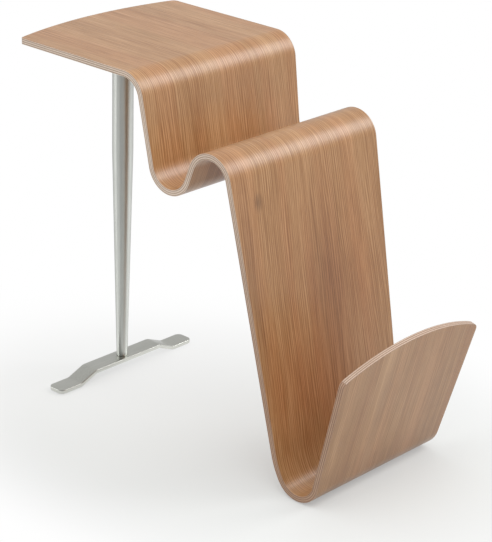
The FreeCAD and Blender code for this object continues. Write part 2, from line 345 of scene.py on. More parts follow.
@dataclass
class BentFlat:
    """Flat stock between two offsets of a bent path, swept from its first section to its last."""

    name: str
    path: BentPath
    lower: float
    upper: float
    width_at: Callable[[Vector], float]
    bend_step: float = 4.0

    def scale(self, across: float, upright: float) -> tuple[float, float, float]:
        """Scale of an upright section of the path."""
        return (1.0, across, upright) if self.path.along == ALONG else (across, 1.0, upright)

    def first_section(self) -> bpy.types.Object:
        """Adds the upright section at the path's start.

        Returns:
            The new object, in edit mode, with its one face selected.
        """
        first = self.path.stretches[0]
        place = first.point(0.0, (self.lower + self.upper) / 2)
        turn = (0.0, -math.pi / 2, 0.0) if self.path.along == ALONG else (math.pi / 2, 0.0, 0.0)
        clear_selection()
        bpy.ops.mesh.primitive_plane_add(size=1.0, location=place, rotation=turn)
        piece = start_shape(self.name)
        size = self.scale(self.width_at(first.point(0.0)), self.upper - self.lower)
        bpy.ops.transform.resize(value=size, center_override=place)
        return piece

    def widen(self, width: float, place: Vector) -> float:
        """Brings the section at the path's end to its width.

        Args:
            width: Present width.
            place: Middle of the section.

        Returns:
            The new width.
        """
        new_width = self.width_at(place)
        if abs(new_width / width - 1.0) >= TIGHT:
            bpy.ops.transform.resize(value=self.scale(new_width / width, 1.0), center_override=place)
        return new_width

    def sweep(self) -> bpy.types.Object:
        """Extrudes the section along the runs and spins it around the bends.

        Returns:
            The closed piece, in edit mode.
        """
        piece = self.first_section()
        width = self.width_at(self.path.stretches[0].point(0.0))
        for stretch in self.path.stretches:
            count = math.ceil(abs(math.degrees(stretch.turn)) / self.bend_step) if stretch.turn else 1
            for index in range(count):
                if stretch.turn:
                    bpy.ops.mesh.spin(
                        steps=1,
                        dupli=False,
                        angle=stretch.turn / count,
                        center=stretch.centre(),
                        axis=UP.cross(self.path.along),
                    )
                else:
                    reach = stretch.direction(stretch.heading) * stretch.length
                    bpy.ops.mesh.extrude_region_move(TRANSFORM_OT_translate={"value": reach})
                width = self.widen(width, stretch.point((index + 1) / count))
        close_shape()
        return piece


# Finishes


@dataclass(frozen=True)
class Pattern:
    """Soft noise: its repeats for each metre in three directions, its layers and the finer ones' strength."""

    x: float
    y: float
    z: float = 1.0
    layers: float = 1.0
    strength: float = 0.5


class NodeBench:
    """Node tree of a finish or of the surroundings, with short calls that add and join its nodes."""

    def __init__(self, tree: bpy.types.NodeTree) -> None:
        """Takes the tree to work on."""
        self.tree = tree
        self.nodes = tree.nodes

    def add(
        self, kind: str, inputs: dict[str | int, object] | None = None, **settings: object
    ) -> bpy.types.Node:
        """Adds a node.

        Args:
            kind: Type name of the node.
            inputs: Output sockets or fixed values by the name or number of the node's input.
            settings: Values of the node's own properties.

        Returns:
            The new node.
        """
        node = self.nodes.new(kind)
        for name, value in settings.items():
            setattr(node, name, value)
        for name, value in (inputs or {}).items():
            self.join(value, node.inputs[name])
        return node

    def join(self, source: Value | tuple | Vector, target: Socket) -> None:
        """Joins an output to an input, or sets the input to a fixed value.

        Args:
            source: Output socket or fixed value.
            target: Input socket.
        """
        if isinstance(source, Socket):
            self.tree.links.new(source, target)
        else:
            target.default_value = source

    def grain_map(self) -> Socket:
        """Unrolled coordinates of a ply: along the strip, across it, and nothing."""
        return self.add("ShaderNodeUVMap", uv_map=GRAIN_MAP).outputs["UV"]

    def object_place(self) -> Socket:
        """Place in the piece's own space, which is the table's frame."""
        return self.add("ShaderNodeTexCoord").outputs["Object"]

    def rays(self) -> tuple[Socket, Socket]:
        """Whether the camera looks, and whether metal, lacquer or glass does."""
        rays = self.add("ShaderNodeLightPath").outputs
        return rays["Is Camera Ray"], self.sum("MAXIMUM", rays["Is Glossy Ray"], rays["Is Transmission Ray"])

    def mapped(self, place: Socket, scale: tuple = (1.0, 1.0, 1.0), shift: tuple = (0.0, 0.0, 0.0)) -> Socket:
        """Stretches coordinates, then moves them."""
        inputs = {"Vector": place, "Scale": scale, "Location": shift}
        return self.add("ShaderNodeMapping", inputs).outputs["Vector"]

    def split(self, place: Socket) -> tuple[Socket, Socket, Socket]:
        """X, Y and Z of coordinates."""
        return tuple(self.add("ShaderNodeSeparateXYZ", {"Vector": place}).outputs)

    def length(self, place: Socket) -> Socket:
        """Distance of coordinates from their origin."""
        return self.add("ShaderNodeVectorMath", {0: place}, operation="LENGTH").outputs["Value"]

    def reach(self, place: Socket, direction: Vector) -> Socket:
        """How far coordinates lie in a direction."""
        inputs = {0: place, 1: direction}
        return self.add("ShaderNodeVectorMath", inputs, operation="DOT_PRODUCT").outputs["Value"]

    def noise(self, place: Socket, pattern: Pattern) -> Socket:
        """Soft noise between 0 and 1.

        Args:
            place: Coordinates in metres.
            pattern: The noise's repeats and layers.

        Returns:
            The noise value.
        """
        scaled = self.mapped(place, (pattern.x, pattern.y, pattern.z))
        inputs = {"Vector": scaled, "Scale": 1.0, "Detail": pattern.layers, "Roughness": pattern.strength}
        return self.add("ShaderNodeTexNoise", inputs, noise_dimensions="3D").outputs["Fac"]

    def sum(self, operation: str, first: Value, second: Value = 0.0) -> Socket:
        """One sum on two values, by its name, such as ADD or MULTIPLY."""
        return self.add("ShaderNodeMath", {0: first, 1: second}, operation=operation).outputs["Value"]

    def total(self, first: Value, *others: Value) -> Value:
        """Adds values up.

        Args:
            first: First value.
            others: The other values.

        Returns:
            The total.
        """
        for other in others:
            first = self.sum("ADD", first, other)
        return first

    def blend(self, weight: Value, first: Value, second: Value) -> Socket:
        """Value between two values: at a weight of 0 the first and at 1 the second."""
        return self.add("ShaderNodeMix", {0: weight, 2: first, 3: second}, data_type="FLOAT").outputs[0]

    def span(
        self,
        value: Socket,
        low: float,
        high: float,
        to_low: float = 0.0,
        to_high: float = 1.0,
        smooth: bool = True,
    ) -> Socket:
        """Stretches a range of a value onto another range, and cuts off what is outside.

        Args:
            value: Value to change.
            low: Value that becomes to_low.
            high: Value that becomes to_high.
            to_low: Result at the low end.
            to_high: Result at the high end.
            smooth: Whether the result starts and ends softly.

        Returns:
            The changed value.
        """
        inputs = {"Value": value, "From Min": low, "From Max": high, "To Min": to_low, "To Max": to_high}
        way = "SMOOTHSTEP" if smooth else "LINEAR"
        return self.add("ShaderNodeMapRange", inputs, interpolation_type=way).outputs["Result"]

    def ramp(self, value: Socket, tones: Tones) -> Socket:
        """Colour by value.

        Args:
            value: Value between 0 and 1.
            tones: Places and linear colours, from low to high.

        Returns:
            The colour.
        """
        node = self.add("ShaderNodeValToRGB", {"Fac": value})
        stops = node.color_ramp.elements
        while len(stops) < len(tones):
            stops.new(0.5)
        for stop, (place, colour) in zip(stops, tones):
            stop.position = place
            stop.color = (*colour, 1.0)
        return node.outputs["Color"]

    def tint(self, weight: Value, first: Paint, second: Paint, way: Mixing = Mixing.STAIN) -> Socket:
        """Mixes two colours.

        Args:
            weight: 0 gives the first colour and 1 the mix in full.
            first: First colour.
            second: Second colour.
            way: How the second meets the first.

        Returns:
            The mixed colour.
        """
        first, second = (one if isinstance(one, Socket) else (*one, 1.0) for one in (first, second))
        inputs = {0: weight, 6: first, 7: second}
        return self.add("ShaderNodeMix", inputs, data_type="RGBA", blend_type=way.value).outputs[2]


class FinishBench(NodeBench):
    """Node tree of a new material, which starts with a bare principled shader."""

    def __init__(self, name: str) -> None:
        """Starts the material.

        Args:
            name: Name of the material.
        """
        self.material = bpy.data.materials.new(name)
        self.material.use_nodes = True
        super().__init__(self.material.node_tree)
        self.shader = self.nodes["Principled BSDF"]

    def paint(self, colour: Socket, roughness: Socket) -> None:
        """Gives the surface its colour and roughness."""
        self.join(colour, self.shader.inputs["Base Color"])
        self.join(roughness, self.shader.inputs["Roughness"])

    def relief(self, height: Socket, strength: float, depth: float) -> None:
        """Gives the surface a fine relief: its strength, and the depth in metres of a height of 1."""
        node = self.add("ShaderNodeBump", {"Strength": strength, "Distance": depth, "Height": height})
        self.join(node.outputs["Normal"], self.shader.inputs["Normal"])

    def set(self, **values: float) -> None:
        """Sets fixed values on the shader's own sockets, by name, with underscores for spaces."""
        for name, value in values.items():
            self.shader.inputs[name.replace("_", " ")].default_value = value


@dataclass(frozen=True)
class Mark:
    """Soft patch of another tone in a veneer: its place on the unrolled strip, half sizes and tint."""

    station: float
    side: float
    length: float
    width: float
    tint: Colour
    strength: float


@dataclass(frozen=True)
class OakVeneer:
    """Satin-lacquered oak face veneer with fine straight grain along the strip."""

    name: str
    seed: float
    weights: tuple[float, float, float, float] = (0.10, 0.12, 0.40, 0.38)
    marks: tuple[Mark, ...] = ()
    tones: Tones = (
        (0.40, (0.250, 0.111, 0.034)),
        (0.50, (0.353, 0.180, 0.071)),
        (0.60, (0.468, 0.264, 0.126)),
    )
    wander: Pattern = Pattern(1.4, 5.0)
    wander_reach: Range = (0.2, 0.8, -0.008, 0.008)
    broad: Pattern = Pattern(0.9, 15.0)
    bands: Pattern = Pattern(1.5, 100.0)
    lines: Pattern = Pattern(9.0, 640.0, layers=2.0, strength=0.6)
    line_gloss: Range = (0.3, 0.7, 0.44, 0.36)
    line_height: float = 0.5
    ring_pitch: float = 0.0037
    ring_sway: Pattern = Pattern(5.0, 45.0)
    ring_swing: float = 22.0
    ring_breaks: Pattern = Pattern(34.0, 420.0)
    ring_depth: Range = (0.35, 0.65, 0.04, 0.22)
    ring_middle: float = 0.5
    warmth: Pattern = Pattern(1.6, 26.0, 4.0)
    warm_share: Range = (0.42, 0.62, 0.0, 1.0)
    warm_tint: Colour = (1.0, 0.94, 0.91)
    pores: Pattern = Pattern(70.0, 2600.0)
    pore_share: Range = (0.60, 0.72, 0.0, 0.35)
    pore_tint: Colour = (0.42, 0.30, 0.22)
    frays: tuple[float, float] = (2.0, 4.0)
    fray_reach: float = 0.6
    mark_fade: tuple[float, float] = (0.2, 1.5)

    def material(self) -> bpy.types.Material:
        """Builds the finish.

        Returns:
            The finished material.
        """
        bench = FinishBench(self.name)
        place = bench.mapped(bench.grain_map(), shift=(self.seed, self.seed / 3, self.seed * 7))
        station, aside, level = bench.split(place)
        wander = bench.span(bench.noise(place, self.wander), *self.wander_reach)
        aside = bench.sum("ADD", aside, wander)
        grain = bench.add("ShaderNodeCombineXYZ", {"X": station, "Y": aside, "Z": level}).outputs["Vector"]

        lines = bench.noise(grain, self.lines)
        turns = bench.sum("MULTIPLY", aside, math.tau / self.ring_pitch)
        swing = bench.sum("MULTIPLY", bench.noise(grain, self.ring_sway), self.ring_swing)
        rings = bench.sum("SINE", bench.sum("ADD", turns, swing))
        depth = bench.span(bench.noise(grain, self.ring_breaks), *self.ring_depth)
        rings = bench.sum("ADD", bench.sum("MULTIPLY", rings, depth), self.ring_middle)
        layers = (bench.noise(grain, self.broad), bench.noise(grain, self.bands), lines, rings)
        weighed = (bench.sum("MULTIPLY", *layer) for layer in zip(layers, self.weights))
        colour = bench.ramp(bench.total(*weighed), self.tones)

        warmth = bench.span(bench.noise(grain, self.warmth), *self.warm_share)
        colour = bench.tint(warmth, colour, self.warm_tint)
        pores = bench.span(bench.noise(grain, self.pores), *self.pore_share)
        colour = bench.tint(pores, colour, self.pore_tint)
        for mark in self.marks:
            colour = bench.tint(self.mark_weight(bench, mark), colour, mark.tint)
        bench.paint(colour, bench.span(lines, *self.line_gloss))
        height = bench.sum("SUBTRACT", bench.sum("MULTIPLY", lines, self.line_height), pores)
        bench.relief(height, strength=0.25, depth=0.00012)
        bench.set(IOR=1.45, Coat_Weight=0.64, Coat_Roughness=0.36)
        return bench.material

    def mark_weight(self, bench: NodeBench, mark: Mark) -> Socket:
        """Weight of a soft patch with a frayed rim.

        Args:
            bench: The material's node tree.
            mark: The patch.

        Returns:
            The weight, up to the patch's strength at its heart.
        """
        scale = (1 / mark.length, 1 / mark.width, 1.0)
        shift = (-mark.station / mark.length, -mark.side / mark.width, 0.0)
        radius = bench.length(bench.mapped(bench.grain_map(), scale, shift))
        frays = Pattern(self.frays[0] / mark.length, self.frays[1] / mark.width)
        fray = bench.sum("MULTIPLY", bench.noise(bench.grain_map(), frays), self.fray_reach)
        radius = bench.sum("ADD", radius, fray)
        return bench.span(radius, *self.mark_fade, mark.strength, 0.0)


@dataclass(frozen=True)
class PlyEdge:
    """Sanded and lacquered sawn edge of one ply, darkened and browned towards the strip's far end by painted
    shade.
    """

    name: str
    seed: float
    fibres: Pattern
    tones: Tones
    drift: Pattern = Pattern(14.0, 60.0, layers=2.0)
    drift_share: float = 0.45
    painted_shade_span: tuple[float, float] = (0.42, 0.98)
    painted_shade: Colour = (0.64, 0.49, 0.39)
    end_share: float = 0.5
    side_to_end: tuple[float, float] = (0.4 * END_SHIFT, 0.6 * END_SHIFT)
    gloss: Range = (0.3, 0.7, 0.5, 0.42)

    def material(self) -> bpy.types.Material:
        """Builds the finish.

        Returns:
            The finished material.
        """
        bench = FinishBench(self.name)
        place = bench.mapped(bench.grain_map(), shift=(self.seed, self.seed / 7, self.seed * 3))
        fibres = bench.noise(place, self.fibres)
        tone = bench.blend(self.drift_share, fibres, bench.noise(place, self.drift))
        station, offset, _ = bench.split(bench.grain_map())
        # Painted shade: the edges darken and brown from the trough down towards the floor, half as much on
        # the ends.
        shade_toward_far_end = bench.span(station, *self.painted_shade_span)
        on_side = bench.span(offset, *self.side_to_end, 1.0, self.end_share)
        painted_shade = bench.sum("MULTIPLY", shade_toward_far_end, on_side)
        colour = bench.tint(painted_shade, bench.ramp(tone, self.tones), self.painted_shade)
        bench.paint(colour, bench.span(fibres, *self.gloss))
        bench.relief(fibres, strength=0.2, depth=0.0001)
        bench.set(IOR=1.5, Coat_Weight=0.2, Coat_Roughness=0.3)
        return bench.material


@dataclass(frozen=True)
class SatinMetal:
    """Satin aluminium, brushed along one direction."""

    name: str
    strokes: Pattern
    stroke_gloss: Range
    turned: bool = False
    colour: Colour = (0.725, 0.745, 0.705)
    stroke_shade: float = 0.86
    stroke_share: tuple[float, float] = (0.3, 0.7)
    patches: Pattern = Pattern(22.0, 22.0, 22.0, layers=2.0)
    patch_share: Range = (0.35, 0.65, 0.0, 0.12)
    patch_colour: Colour = (0.82, 0.82, 0.80)
    patch_gloss: Range = (0.3, 0.7, 0.0, 0.05)

    def material(self) -> bpy.types.Material:
        """Builds the finish.

        Returns:
            The finished material.
        """
        bench = FinishBench(self.name)
        place = bench.object_place()
        strokes = bench.noise(place, self.strokes)
        patches = bench.noise(place, self.patches)
        darker = tuple(self.stroke_shade * share for share in self.colour)
        colour = bench.tint(bench.span(strokes, *self.stroke_share), darker, self.colour, Mixing.COVER)
        patched = bench.span(patches, *self.patch_share)
        colour = bench.tint(patched, colour, self.patch_colour, Mixing.COVER)
        gloss = bench.span(strokes, *self.stroke_gloss)
        bench.paint(colour, bench.sum("ADD", gloss, bench.span(patches, *self.patch_gloss)))
        bench.relief(strokes, strength=0.12, depth=0.00005)
        bench.set(Metallic=1.0)
        if self.turned:
            around = bench.add("ShaderNodeTangent", direction_type="RADIAL", axis="Z")
            bench.join(around.outputs["Tangent"], bench.shader.inputs["Tangent"])
            bench.set(Anisotropic=0.8, Anisotropic_Rotation=0.25)
        return bench.material


@dataclass(frozen=True)
class ZincPlate:
    """Zinc-plated steel of the plate, the plugs and the screws."""

    name: str
    spangle: Pattern = Pattern(260.0, 260.0, 260.0, layers=2.0)
    cloud: Pattern = Pattern(40.0, 40.0, 40.0, layers=2.0)
    tones: Tones = ((0.35, (0.38, 0.39, 0.40)), (0.65, (0.56, 0.57, 0.58)))
    gloss: Range = (0.3, 0.7, 0.28, 0.42)

    def material(self) -> bpy.types.Material:
        """Builds the finish.

        Returns:
            The finished material.
        """
        bench = FinishBench(self.name)
        place = bench.object_place()
        spangle, cloud = bench.noise(place, self.spangle), bench.noise(place, self.cloud)
        bench.paint(bench.ramp(bench.blend(0.5, spangle, cloud), self.tones), bench.span(cloud, *self.gloss))
        bench.relief(spangle, strength=0.1, depth=0.00005)
        bench.set(Metallic=1.0)
        return bench.material


@dataclass(frozen=True)
class DarkNylon:
    """Dark moulded nylon of the glides."""

    name: str
    speckle: Pattern = Pattern(900.0, 900.0, 900.0, layers=2.0)
    tones: Tones = ((0.3, (0.035, 0.033, 0.032)), (0.7, (0.062, 0.06, 0.058)))
    gloss: Range = (0.3, 0.7, 0.5, 0.62)

    def material(self) -> bpy.types.Material:
        """Builds the finish.

        Returns:
            The finished material.
        """
        bench = FinishBench(self.name)
        speckle = bench.noise(bench.object_place(), self.speckle)
        bench.paint(bench.ramp(speckle, self.tones), bench.span(speckle, *self.gloss))
        bench.relief(speckle, strength=0.15, depth=0.0001)
        return bench.material


@dataclass(frozen=True)
class PaleFloor:
    """Pale studio floor, which turns to plain white away from the table.

    Metal and lacquer mirror it dimmer than it is, least so to both sides of the leg and close beside
    the foot bar.
    """

    name: str
    bounce: Colour = (0.64, 0.66, 0.65)
    seen_colour: Colour = (0.695, 0.710, 0.694)
    veil: float = 0.4
    stretch: float = 1.35
    around: Range = (0.25, 0.47, 1.0, 0.0)
    before: Range = (-0.55, 0.2, 0.0, 1.0)
    leg_x: float = -0.2568
    mirror_level: Range = (0.0, 0.9, 0.59, 0.53)
    side_glow: Range = (0.6, 1.0, 0.0, 0.28)
    bar_glow: Range = (0.045, 0.085, 0.50, 0.0)

    def mirror(self, bench: NodeBench, place: Socket) -> Socket:
        """Brightness of the floor in metal and lacquer.

        Args:
            bench: The material's node tree.
            place: Place on the floor.

        Returns:
            The brightness, where 1 is white.
        """
        from_leg = bench.mapped(place, shift=(-self.leg_x, 0.0, 0.0))
        heading = bench.add("ShaderNodeVectorMath", {0: from_leg}, operation="NORMALIZE").outputs["Vector"]
        aside = bench.sum("ABSOLUTE", bench.reach(heading, RIGHT))
        gap = bench.sum("ABSOLUTE", bench.split(from_leg)[0])
        return bench.total(
            bench.span(bench.reach(place, FRONT), *self.mirror_level),
            bench.span(aside, *self.side_glow),
            bench.span(gap, *self.bar_glow),
        )

    def material(self) -> bpy.types.Material:
        """Builds the finish.

        Returns:
            The finished material.
        """
        bench = FinishBench(self.name)
        place = bench.object_place()
        spread = bench.length(bench.mapped(place, (1 / self.stretch, 1.0, 1.0)))
        before = bench.span(bench.reach(place, FRONT), *self.before)
        near = bench.sum("MULTIPLY", bench.span(spread, *self.around), before)
        by_camera, mirrored = bench.rays()
        level = bench.blend(mirrored, bench.blend(near, 1.0, 2 * self.veil), self.mirror(bench, place))
        white = bench.add("ShaderNodeEmission", {"Color": WHITE, "Strength": level}).outputs["Emission"]
        seen = bench.sum("MAXIMUM", by_camera, mirrored)
        share = bench.sum("MULTIPLY", seen, bench.blend(near, 1.0, self.veil))
        mix = bench.add("ShaderNodeMixShader", {0: share, 1: bench.shader.outputs["BSDF"], 2: white})
        bench.join(mix.outputs["Shader"], bench.nodes["Material Output"].inputs["Surface"])
        tone = bench.tint(by_camera, self.bounce, self.seen_colour, Mixing.COVER)
        bench.join(tone, bench.shader.inputs["Base Color"])
        bench.set(Roughness=0.7, Specular_IOR_Level=0.2)
        return bench.material


# Pieces


@dataclass
class BentStrip:
    """Moulded plywood strip of seven plies: tabletop, trough, hump, long drop, pocket and panel."""

    table_height: float = 0.5562
    free_end_x: float = -0.327305
    veneer: float = 0.00075
    core: float = 0.0015
    core_count: int = 5
    tabletop_width: float = 0.3145
    trough_width: float = 0.3045
    waist_width: float = 0.265
    waist_height: float = 0.018
    panel_end_width: float = 0.2925
    tabletop_end_radius: float = 0.610
    panel_end_radius: float = 0.370
    tabletop_corner: float = 0.008
    panel_corner: float = 0.012
    crown_facets: int = 12
    corner_facets: int = 10
    eased: float = 0.0004
    eased_facets: int = 2
    smooth_degrees: float = 20.0
    steps: list[Run | Bend] = field(
        default_factory=lambda: [
            Run(0.2357),
            Bend(0.0345, -80.1),
            Run(0.0952),
            Bend(0.0365, 149.1),
            Run(0.0260),
            Bend(0.0360, -146.9),
            Run(0.392480),
            Bend(0.1220, 17.2),
            Bend(0.0350, 135.7),
            Run(0.2185),
        ]
    )
    thickness: float = field(init=False)
    path: BentPath = field(init=False)
    waist: Vector = field(init=False)
    rise: Vector = field(init=False)
    reach: float = field(init=False)

    def __post_init__(self) -> None:
        """Lays out the strip's middle surface, and its waist and the rise of its panel from there."""
        self.thickness = 2 * self.veneer + self.core_count * self.core
        start = ALONG * self.free_end_x + UP * (self.table_height - self.thickness / 2)
        self.path = BentPath.laid(ALONG, start, self.steps)
        panel = self.at(Form.PANEL)
        self.waist = Vector((self.at(Form.FLOOR_BEND).centre().x, 0.0, self.waist_height))
        self.rise = panel.direction(panel.heading)
        self.reach = (panel.point(1.0) - self.waist).dot(self.rise)

    def at(self, form: Form) -> Stretch:
        """One stretch of the strip."""
        return self.path.stretches[form]

    def width_at(self, place: Vector) -> float:
        """Width of the trimmed strip.

        Args:
            place: Point of the middle surface.

        Returns:
            The width there.
        """
        first_drop, long_drop = self.at(Form.FIRST_DROP), self.at(Form.LONG_DROP)
        if place.x < self.at(Form.TROUGH).centre().x:
            low, high = self.trough_width, self.tabletop_width
            bottom = first_drop.point(1.0).z
            share = (place.z - bottom) / (first_drop.start.z - bottom)
        elif place.x < self.waist.x:
            low, high = self.waist_width, self.trough_width
            on_hump = place.x < self.at(Form.HUMP).centre().x
            bottom = self.waist_height
            share = 1.0 if on_hump else (place.z - bottom) / (long_drop.start.z - bottom)
        else:
            low, high = self.waist_width, self.panel_end_width
            share = (place - self.waist).dot(self.rise) / self.reach
        return low + (high - low) * min(max(share, 0.0), 1.0)

    def end_cuts(
        self, radius: float, corner: float, half_width: float, flare: float
    ) -> list[tuple[float, float, float]]:
        """Planes that round an end of the strip to a crown with soft corners.

        Args:
            radius: Radius of the crowned end.
            corner: Radius of the corners.
            half_width: Half the width at the level of the crown's top.
            flare: Angle by which each side widens towards the end, in radians.

        Returns:
            For each cut, its angle from the strip's direction and a point on it: across the
            strip, and beyond the crown's top, which stays the strip's own square end.
        """
        side = Vector((math.cos(flare), -math.sin(flare)))
        along_side = Vector((math.sin(flare), math.cos(flare)))
        base = Vector((half_width, radius)) - side * corner
        half = base.dot(along_side)
        slide = -half + math.sqrt(half * half - base.length_squared + (radius - corner) ** 2)
        middle = base + along_side * slide
        crown_end = math.atan2(middle.x, middle.y)
        cuts = []
        for index in range(1, self.crown_facets + 1):
            angle = crown_end * index / self.crown_facets
            for turn in (-angle, angle):
                cuts.append((turn, radius * math.sin(turn), radius * (math.cos(turn) - 1)))
        for index in range(1, self.corner_facets):
            angle = crown_end + (math.pi / 2 + flare - crown_end) * index / self.corner_facets
            spot = middle + Vector((math.sin(angle), math.cos(angle))) * corner
            for sign in (1, -1):
                cuts.append((sign * angle, sign * spot.x, spot.y - radius))
        return cuts

    def trim_end(
        self, apex: Vector, outward: Vector, cuts: list[tuple[float, float, float]], test: MeshTest
    ) -> None:
        """Cuts one end of the ply in edit mode to its outline.

        Args:
            apex: Top of the end's crown.
            outward: Direction out of the strip.
            cuts: The planes from end_cuts.
            test: Says whether a face belongs to the end's flat.
        """
        for angle, aside, beyond in cuts:
            choose(Kind.FACE, test)
            bpy.ops.mesh.bisect(
                plane_co=apex + ACROSS * aside + outward * beyond,
                plane_no=outward * math.cos(angle) + ACROSS * math.sin(angle),
                use_fill=True,
                clear_outer=True,
                threshold=TIGHT / 10,
            )

    def trim_ends(self) -> None:
        """Cuts the crowned free end of the tabletop and that of the panel in edit mode."""
        tabletop, panel = self.at(Form.TABLETOP), self.at(Form.PANEL)
        bend_start = tabletop.point(1.0).x + TIGHT
        cuts = self.end_cuts(self.tabletop_end_radius, self.tabletop_corner, self.tabletop_width / 2, 0.0)
        self.trim_end(
            tabletop.start, -ALONG, cuts, lambda face: all(vert.co.x < bend_start for vert in face.verts)
        )
        waist, rise = self.waist, self.rise
        flare = math.atan2((self.panel_end_width - self.waist_width) / 2, self.reach)
        cuts = self.end_cuts(self.panel_end_radius, self.panel_corner, self.panel_end_width / 2, flare)
        level = panel.start.dot(rise) - TIGHT
        self.trim_end(
            panel.point(1.0),
            rise,
            cuts,
            lambda face: all(vert.co.x > waist.x and vert.co.dot(rise) > level for vert in face.verts),
        )

    def ease_edges(self, skin_offset: float) -> None:
        """Rounds the edges around one skin of the ply in edit mode.

        Args:
            skin_offset: Offset of the skin from the strip's middle surface.
        """
        slack, rim_angle, unrolled = self.veneer / 8, math.radians(60), self.path.unrolled

        def is_rim(edge: bmesh.types.BMEdge) -> bool:
            """Whether an edge is where the skin meets the sawn side."""
            sharp = len(edge.link_faces) == 2 and edge.calc_face_angle(0.0) > rim_angle
            return sharp and all(abs(unrolled(vert.co)[1] - skin_offset) < slack for vert in edge.verts)

        choose(Kind.EDGE, is_rim)
        bpy.ops.mesh.bevel(
            offset=self.eased, segments=self.eased_facets, profile=0.5, affect="EDGES", clamp_overlap=False
        )

    def map_grain(self, piece: bpy.types.Object, lower: float, upper: float) -> None:
        """Lays the unrolled map on a ply and sorts its faces into skins, sides and ends.

        Args:
            piece: The ply, in object mode, with its materials in this order.
            lower: Offset of the ply's lower skin.
            upper: Offset of the ply's upper skin.
        """
        mesh = piece.data
        layer = mesh.uv_layers.new(name=GRAIN_MAP)
        spots = [(*self.path.unrolled(vert.co), vert.co.y) for vert in mesh.vertices]
        slack, mostly_across = self.veneer / 20, 0.7
        for face in mesh.polygons:
            offsets = [spots[index][1] for index in face.vertices]
            level = max(offsets) - min(offsets) < slack
            kind = PlyFace.SIDE if abs(face.normal.y) > mostly_across else PlyFace.END
            if level and min(abs(offsets[0] - lower), abs(offsets[0] - upper)) < slack:
                kind = PlyFace.SKIN
            face.material_index = kind
            for corner in face.loop_indices:
                station, offset, aside = spots[mesh.loops[corner].vertex_index]
                layer.data[corner].uv = {
                    PlyFace.SKIN: (station, aside),
                    PlyFace.SIDE: (station, offset),
                    PlyFace.END: (station + aside, offset + END_SHIFT),
                }[kind]

    def lay_up(self) -> list[tuple[str, float, PlyGrain, Slot]]:
        """Lists the plies from the upper skin down.

        Returns:
            For each ply, its name, thickness, grain direction and slot.
        """
        plies = [("upper_face_veneer", self.veneer, PlyGrain.LONG, Slot.OAK)]
        for index in range(self.core_count):
            grain = PlyGrain.LONG if index % 2 else PlyGrain.CROSS
            plies.append(("core_ply_%d" % (index + 1), self.core, grain, Slot.PLY))
        return plies + [("lower_face_veneer", self.veneer, PlyGrain.LONG, Slot.OAK)]

    def upper_marks(self) -> tuple[Mark, ...]:
        """Patches of the upper face: a pin knot, dark streaks, warmer wood, painted shade over the middle of
        the long drop and painted light low on the first drop.

        Returns:
            The patches, in the order in which they are laid.
        """
        drop = self.at(Form.LONG_DROP).station
        return (
            Mark(drop + 0.037, -0.105, 0.016, 0.0105, (0.30, 0.26, 0.25), 0.55),
            Mark(drop + 0.190, 0.014, 0.200, 0.050, (0.68, 0.58, 0.48), 0.90),
            Mark(drop + 0.160, -0.134, 0.220, 0.020, (0.68, 0.62, 0.58), 0.90),
            # Painted shade: a broad darker zone across the whole width of the long drop's middle.
            Mark(drop + 0.150, 0.000, 0.200, 0.170, (0.93, 0.86, 0.78), 1.0),
            Mark(drop + 0.200, 0.088, 0.150, 0.050, (0.95, 0.86, 0.76), 0.90),
            # Painted light: a lighter patch low on the first drop and into the trough.
            Mark(drop - 0.228, 0.010, 0.055, 0.220, (1.18, 1.15, 1.14), 1.0),
            Mark(drop + 0.320, -0.060, 0.130, 0.100, (0.98, 0.82, 0.76), 1.0),
            Mark(0.130, -0.002, 0.120, 0.018, (0.80, 0.76, 0.64), 0.90),
        )

    def lower_marks(self) -> tuple[Mark, ...]:
        """Patches of the lower face: dark streaks in the panel, painted shade across the floor bend and the
        panel's foot, and painted warm bounce light under the hump.

        Returns:
            The patches, in the order in which they are laid.
        """
        drop, panel = self.at(Form.LONG_DROP).station, self.at(Form.PANEL).station
        return (
            Mark(panel + 0.100, -0.040, 0.140, 0.014, (0.68, 0.61, 0.52), 0.95),
            Mark(panel + 0.100, 0.088, 0.100, 0.012, (0.86, 0.80, 0.74), 0.80),
            # Painted shade: a broad darker band across the floor bend and the foot of the panel.
            Mark(panel - 0.010, 0.000, 0.060, 0.170, (0.78, 0.71, 0.66), 0.85),
            # Painted light: warm bounce light from the wood, laid on the lower face under the hump.
            Mark(drop - 0.075, 0.000, 0.075, 0.200, (1.22, 1.00, 0.83), 1.0),
        )

    def faces(self) -> dict[str, bpy.types.Material]:
        """Builds the finishes of the plies' skins.

        Returns:
            The finishes of the two face veneers by name, and that of the hidden skins as hidden.
        """
        lower_weights = (0.34, 0.14, 0.22, 0.30)
        finishes = {
            "upper_face_veneer": OakVeneer("oak_upper_face", seed=1.7, marks=self.upper_marks()),
            "lower_face_veneer": OakVeneer(
                "oak_lower_face", seed=5.3, weights=lower_weights, marks=self.lower_marks()
            ),
            "hidden": OakVeneer("oak_inner_face", seed=9.1),
        }
        return {name: finish.material() for name, finish in finishes.items()}

    def edges(self) -> tuple[bpy.types.Material, bpy.types.Material]:
        """Builds the finishes of the sawn edges.

        Returns:
            The finish of an edge that shows long grain and that of one that shows end grain.
        """
        long_tones = ((0.3, (0.52, 0.40, 0.32)), (0.5, (0.62, 0.50, 0.41)), (0.7, (0.71, 0.60, 0.51)))
        end_tones = ((0.3, (0.26, 0.175, 0.12)), (0.5, (0.34, 0.24, 0.17)), (0.7, (0.42, 0.31, 0.23)))
        long_fibres, end_fibres = Pattern(40.0, 2400.0, layers=2.0), Pattern(1100.0, 1500.0)
        long_edge = PlyEdge("long_grain_edge", seed=2.1, fibres=long_fibres, tones=long_tones)
        end_edge = PlyEdge("end_grain_edge", seed=4.3, fibres=end_fibres, tones=end_tones)
        return long_edge.material(), end_edge.material()

